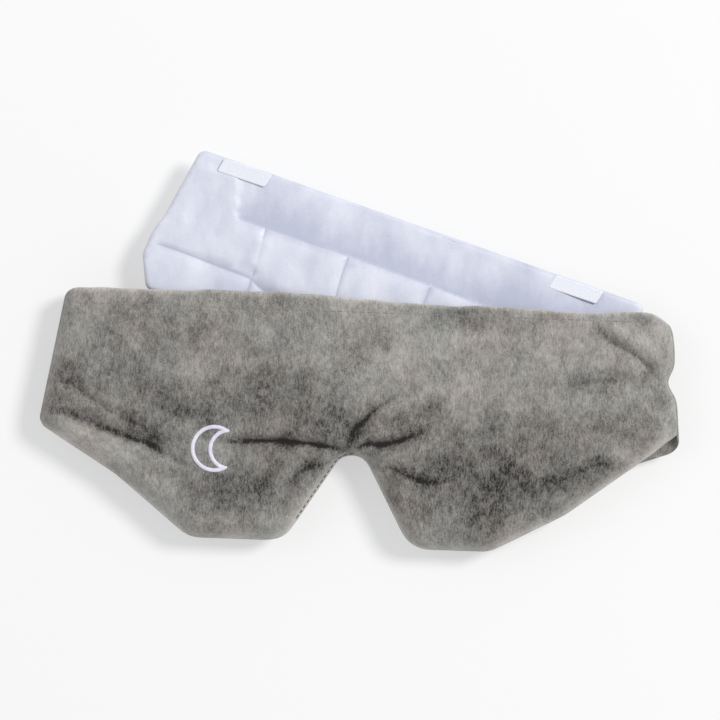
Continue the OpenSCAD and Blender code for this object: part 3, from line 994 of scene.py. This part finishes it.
def build_tab_root():
    """The tab's root: sewn to the right wing, then turned under into the tab."""
    hinge = np.array(joint("closure_tab_fold")["pos_m"]) / MM
    sewn_end = box_mm("tab_root_stitch")[1][0]
    tab_low, tab_high = box_mm("closure_tab_outer")
    upper_z, lower_z = WING_LOW_Z - 0.25, (tab_low[2] + tab_high[2]) / 2
    middle_z, radius = (upper_z + lower_z) / 2, (upper_z - lower_z) / 2
    turn_x = hinge[0] + 1.6
    path = [(x, upper_z) for x in np.linspace(sewn_end + 2, turn_x, 22)]
    path += [(turn_x + 1.6 * math.cos(a), middle_z + radius * math.sin(a))
             for a in np.radians(np.linspace(90, 270, 11))[1:-1]]
    path += [(x, lower_z) for x in np.linspace(turn_x, turn_x + 8, 8)]
    x, z = np.array(path).T
    half_h = (tab_high[1] - tab_low[1]) / 2 - 1.2
    across = np.linspace(-1, 1, 24)
    pinch = 1 - 0.18 * smoothstep((x - turn_x) / (sewn_end - turn_x)) * (z > lower_z + 1)
    points = np.stack([np.column_stack([x, hinge[1] + a * half_h * pinch, z]) for a in across])
    edge_t = 0.5 * np.maximum(profile(1 - np.abs(across), 0.06), 0.3)
    thickness = np.repeat(edge_t[:, None], len(x), axis=1)
    piece = make_mesh("closure_tab_root", thick_grid(points, thickness), PLUSH_WING)
    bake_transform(piece)
    stitched_box("tab_root_stitch", upper_z - 0.55, "right_wing", length=2.0, gap=0.8)


# ---------- weighted insert ----------

PIVOT = np.array(joint("insert_swing")["pos_m"]) / MM
# The pivot, measured from the insert's left top corner: along its top edge, and down
PIVOT_U, PIVOT_V = 217.4, 4.0
HEADER_H = 22.0
INSERT_H = 65.0
ROW_SEAM = HEADER_H + (INSERT_H - HEADER_H) / 2
SEAM_PLACES = (39.5, 77.9, 116.3, 154.7, 180.0)
# Left end of the seam below the header
HEADER_SEAM_START = 26.6
CHAMBER_HALF_T = 3.7
SHEET_HALF_T = 0.55
# How far the simulation may slide a point along the sheet
MAX_SLIDE = 1.5
# Painted shade: how much darker the header is painted beside the chambers, in their shade, and how much
# more towards its right end, in the shadow of the cover's lip
HEADER_SHADE, HEADER_END_SHADE = 0.42, 0.16
# How far the filled chambers push the left end out
LEFT_FLARE = 1.7


# Turns a point of the insert's own frame, whose u runs right and v up from its left top corner
INSERT_TURN = np.array([[math.cos(SWING), -math.sin(SWING)], [math.sin(SWING), math.cos(SWING)]])


def from_insert(points, z):
    """Points of the insert's own frame, in the row frame."""
    relative = np.asarray(points) + (-PIVOT_U, PIVOT_V)
    return np.column_stack([relative @ INSERT_TURN + PIVOT[:2], PIVOT[2] + z])


def to_insert(points):
    return (points - PIVOT[:2]) @ INSERT_TURN.T - (-PIVOT_U, PIVOT_V)


def header_border(u):
    """Height of the chambers' upper border: it climbs into the header at the left end."""
    return -HEADER_H - 0.03 * np.maximum(u - 90, 0) + 18.0 * smoothstep((HEADER_SEAM_START - u) / 8)


def row_border(u):
    """Height of the seam between the two rows: it runs lower beyond the first column."""
    sag = 1.2 * np.sin(np.clip(u, 0, SEAM_PLACES[0]) / 25) ** 2
    return -ROW_SEAM - 0.8 - sag - 3.5 * smoothstep((u - SEAM_PLACES[0] + 2) / 10)


def seam_lines():
    """The sewn lines between the chambers, as separate open lines."""
    u = np.arange(0, to_insert(INSERT_LOOP)[:, 0].max() - 1.5, 1.0)
    header = u[u > HEADER_SEAM_START]
    lines = [np.column_stack([header, header_border(header)]),
             np.column_stack([u - 4, row_border(u - 4)])]
    for place in SEAM_PLACES:
        v = np.arange(-INSERT_H + 1.0, -HEADER_H, 1.0)
        lines.append(np.column_stack([place + 0.5 * np.sin(v / 7 + place), v]))
    return lines


INSERT_LOOP = node_loops("insert_edge_stitch")[0]


def insert_fill():
    """Filled outline of the insert in its own frame, with points on its seams."""
    loop = to_insert(INSERT_LOOP)
    outward = loop - loop.mean(0)
    loop = resample(loop + 0.3 * outward / np.linalg.norm(outward, axis=1)[:, None], 1.6)
    loop[:, 0] -= LEFT_FLARE * smoothstep((-30 - loop[:, 1]) / 12) * smoothstep(1 - loop[:, 0] / 20)
    on_seams = np.vstack([inset_line(line, beside) for line in seam_lines() for beside in (0, 0.6, -0.6)])
    on_seams = on_seams[inside(on_seams, loop)]
    on_seams = on_seams[loop_distance(on_seams, loop) > 1.2]
    points, faces = fill(loop, 1.9, rings=(0.5,), extra=on_seams)
    return loop, points, faces


def seam_distance(points):
    return np.min([distance(points, *segments(line))[0] for line in seam_lines()], axis=0)


def plain_puff(points, loop):
    """Chamber height by the distance to the nearest seam, from which the cloth starts."""
    d = np.minimum(seam_distance(points), loop_distance(points, loop))
    filled = points[:, 1] < header_border(points[:, 0])
    return np.where(filled, profile(d, 9.0), 0)


def inflate(piece, held):
    """Blows the sheet up with Cloth; points in `held` stay where they are."""
    group = piece.vertex_groups.new(name="held")
    group.add([int(i) for i in np.flatnonzero(held)], 1.0, "REPLACE")
    cloth = piece.modifiers.new("puff", "CLOTH")
    settings = cloth.settings
    settings.vertex_group_mass = "held"
    settings.use_pressure = True
    settings.uniform_pressure_force = 4.0
    settings.effector_weights.gravity = 0
    settings.shrink_min = settings.shrink_max = -0.012
    settings.bending_stiffness = 0.5
    settings.tension_stiffness = settings.compression_stiffness = 22
    settings.mass = 0.15
    cloth.collision_settings.use_collision = False
    cloth.collision_settings.use_self_collision = False
    for step in range(1, 21):
        bpy.context.scene.frame_set(step)
    evaluated = piece.evaluated_get(bpy.context.evaluated_depsgraph_get())
    blown = np.zeros(len(piece.data.vertices) * 3)
    evaluated.data.vertices.foreach_get("co", blown)
    piece.modifiers.remove(cloth)
    piece.vertex_groups.clear()
    bpy.context.scene.frame_set(1)
    return blown.reshape(-1, 3)


def relaxed(step, piece, held, rounds=5):
    """Evens out the blown-up sheet's small crumples; held points stay as they are."""
    pairs = np.array([edge.vertices[:] for edge in piece.data.edges])
    pairs = np.vstack([pairs, pairs[:, ::-1]])
    count = np.bincount(pairs[:, 0], minlength=len(step))[:, None]
    for _ in range(rounds):
        total = np.zeros_like(step)
        np.add.at(total, pairs[:, 0], step[pairs[:, 1]])
        step = np.where(held[:, None], step, 0.4 * step + 0.6 * total / count)
    return step


def place_of(piece):
    """A piece's points, in mm."""
    place = np.zeros(len(piece.data.vertices) * 3)
    piece.data.vertices.foreach_get("co", place)
    return place.reshape(-1, 3) / MM


def blown_up(piece, loop):
    """The sheet's points after the simulation, no higher than a chamber."""
    place = place_of(piece)
    flat = place[:, :2]
    held = (flat[:, 1] > header_border(flat[:, 0])) | (seam_distance(flat) < 0.5)
    held |= loop_distance(flat, loop) < 0.3
    step = relaxed(inflate(piece, held) / MM - place, piece, held)
    step[:, :2] = np.clip(step[:, :2], -MAX_SLIDE, MAX_SLIDE)
    place = place + step
    share = np.clip(np.abs(place[:, 2]) / CHAMBER_HALF_T, 0, 3)
    place[:, 2] = np.sign(place[:, 2]) * CHAMBER_HALF_T * np.tanh(share ** 0.8)
    return place


def build_insert():
    """The satin pillow: two sheets sewn along the seams and blown up between them."""
    loop, points, faces = insert_fill()
    start_h = 0.8
    half = SHEET_HALF_T * profile(loop_distance(points, loop), 1.2) + start_h * plain_puff(points, loop)
    piece = make_mesh("insert_satin_shell", closed(points, faces, half, -half), SATIN)
    place = blown_up(piece, loop)
    flat, (u, v) = place[:, :2], place[:, :2].T
    near_rim = profile(loop_distance(flat, loop), 1.5)
    in_header = v > header_border(u)
    lift = 0.35 * waves(flat * (1, 0.3), 13, 51) * near_rim * in_header
    lift += 0.25 * waves(flat, 34, 52) * near_rim
    soft_seam = np.exp(-((u - SEAM_PLACES[0]) / 4.5) ** 2)
    soft_seam *= smoothstep((-HEADER_H - 2 - v) / 5) * smoothstep((v - row_border(u) - 2) / 5)
    lift += 1.6 * soft_seam * np.sign(place[:, 2])
    z = np.clip(place[:, 2] + lift, -CHAMBER_HALF_T, CHAMBER_HALF_T)
    # Painted shade: a thin dark line along each seam where the chambers meet, and over the header beside
    # the chambers and towards its right end.
    shade = 0.75 * np.exp(-(seam_distance(flat) / 0.5) ** 2) * (1 - soft_seam)
    shade += HEADER_SHADE * in_header * smoothstep((-v - 3) / 18) * smoothstep((u - 18) / 8)
    shade += HEADER_END_SHADE * in_header * smoothstep((u - 105) / 45)
    piece.data.vertices.foreach_set("co", (from_insert(flat, z) * MM).ravel())
    painted_shade = piece.data.attributes.new("shade", "FLOAT", "POINT")
    painted_shade.data.foreach_set("value", shade.astype(np.float32))
    piece.data.update()
    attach(piece, "weighted_insert")
    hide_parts("insert_front_shell", "insert_back_shell", "bead_fill")
    return loop


def both_faces(line, lift, length, gap):
    """Fine stitches along a line on the insert's front and back."""
    z = np.full(len(line), SHEET_HALF_T - lift)
    return [stitches(from_insert(line, side * z), length, gap, 0.3, 0.2) for side in (1, -1)]


def build_insert_threads(loop):
    """Thread along the quilting seams and round the edge, on both faces."""
    quilting = []
    for line in seam_lines():
        line = line[inside(line, loop)]
        quilting += both_faces(line[loop_distance(line, loop) > 1.0], 0.02, 1.6, 0.6)
    edge = both_faces(inset_line(np.vstack([loop, loop[:1]]), 1.3), 0.06, 1.8, 0.7)
    for node, parts in (("quilting_stitch", quilting), ("insert_edge_stitch", edge)):
        make_mesh(f"{node}es", join_parts(parts), THREAD_SATIN, "weighted_insert", [node])


# How far the tabs' ends lean along the insert for each millimetre up
TAB_SLANT = 0.22


def build_hook_tabs():
    """The two white hook tabs on the header."""
    low, high = box_mm("insert_hook_tabs")
    z = (low[2] - PIVOT[2] - 0.2, high[2] - PIVOT[2] - 0.1)
    parts = []
    for node_loop in node_loops("insert_hook_tabs"):
        flat = to_insert(node_loop)
        loop = rounded_rectangle(flat.min(0) + (0.5, 0.6), flat.max(0) - (0.5, 0), 0.5, 0.7)
        loop[:, 0] += TAB_SLANT * (loop[:, 1] - loop[:, 1].mean())
        verts, faces = tape_patch(loop, *z, 0.9, True, bump=0.05)
        parts.append((from_insert(verts[:, :2], verts[:, 2]), faces))
    make_mesh("insert_hook_patches", join_parts(parts), TAPE_WHITE, "weighted_insert",
              ["insert_hook_tabs"])


# ---------- stage ----------

# Width of the view at the fold lines' height, and the camera's place, in mm
VIEW_W = 320.4
CAMERA_Z = 1500.0
CAMERA_AIM = (-0.9, -3.76)
CAMERA_ROLL = 2.04
# Share of the floor's brightness that it gives off itself, as a light table does
FLOOR_GLOW = 0.5
# Lights: name, place in m, width in m, power in W and colour
LIGHTS = [("key", (1.9, 1.06, 2.67), 0.98, 83, (1.0, 0.99, 0.975)),
          ("fill", (-1.4, 0.4, 1.6), 1.4, 5, (0.97, 0.98, 1.0))]


def build_stage():
    """Pale floor, soft studio light and the camera straight above."""
    own_share = 0.93 * (1 - FLOOR_GLOW)
    m = Nodes("floor", Base_Color=(own_share, own_share, own_share, 1), Roughness=0.9,
              Specular_IOR_Level=0.0, Emission_Color=(0.94, 0.94, 0.94, 1),
              Emission_Strength=FLOOR_GLOW)
    bpy.ops.mesh.primitive_plane_add(size=30, location=(0, 0, -0.0002))
    floor = bpy.context.object
    floor.name = "floor"
    floor.data.materials.append(m.material)

    world = bpy.data.worlds.new("studio")
    world.use_nodes = True
    sky = world.node_tree.nodes["Background"]
    sky.inputs["Color"].default_value = (0.97, 0.985, 1.0, 1)
    sky.inputs["Strength"].default_value = 0.45
    bpy.context.scene.world = world

    for name, place, size, power, colour in LIGHTS:
        light = bpy.data.lights.new(name, "AREA")
        light.shape = "DISK"
        light.size = size
        light.energy = power
        light.color = colour
        lamp = bpy.data.objects.new(name, light)
        lamp.location = place
        lamp.rotation_euler = (-Vector(place)).to_track_quat("-Z", "Y").to_euler()
        bpy.context.scene.collection.objects.link(lamp)

    lens = bpy.data.cameras.new("camera")
    lens.lens = lens.sensor_width * (CAMERA_Z - MID_Z) / VIEW_W
    lens.clip_start = 0.01
    camera = bpy.data.objects.new("camera", lens)
    camera.location = (CAMERA_AIM[0] * MM, CAMERA_AIM[1] * MM, CAMERA_Z * MM)
    camera.rotation_euler = (0, 0, math.radians(CAMERA_ROLL))
    bpy.context.scene.collection.objects.link(camera)
    bpy.context.scene.camera = camera
    bpy.context.scene.view_settings.view_transform = "Standard"


# ---------- build ----------

insert_loop = build_insert()
build_insert_threads(insert_loop)
build_hook_tabs()
build_panel("plush_front", "front_panel", PLUSH, FOLD_START, PLUSH_T, front_top, 1, 1.25,
            front_shade)
build_panel("face_lining", "face_lining", LINING, LINING_START, LINING_T, face_low, -1, 1.8)
build_edge_seam()
build_nose_stitches()
build_mouth_stitches()
build_moon()
build_pocket_tabs()
for side, fold, seed in (("left", LEFT, 61), ("right", RIGHT, 62)):
    build_fold_strip(side, fold, *build_wing(side, fold, seed), seed)
build_grey_tape("loop_tape_patch", "loop_patch", 1.3, "left_wing")
build_tab()
build_stage()
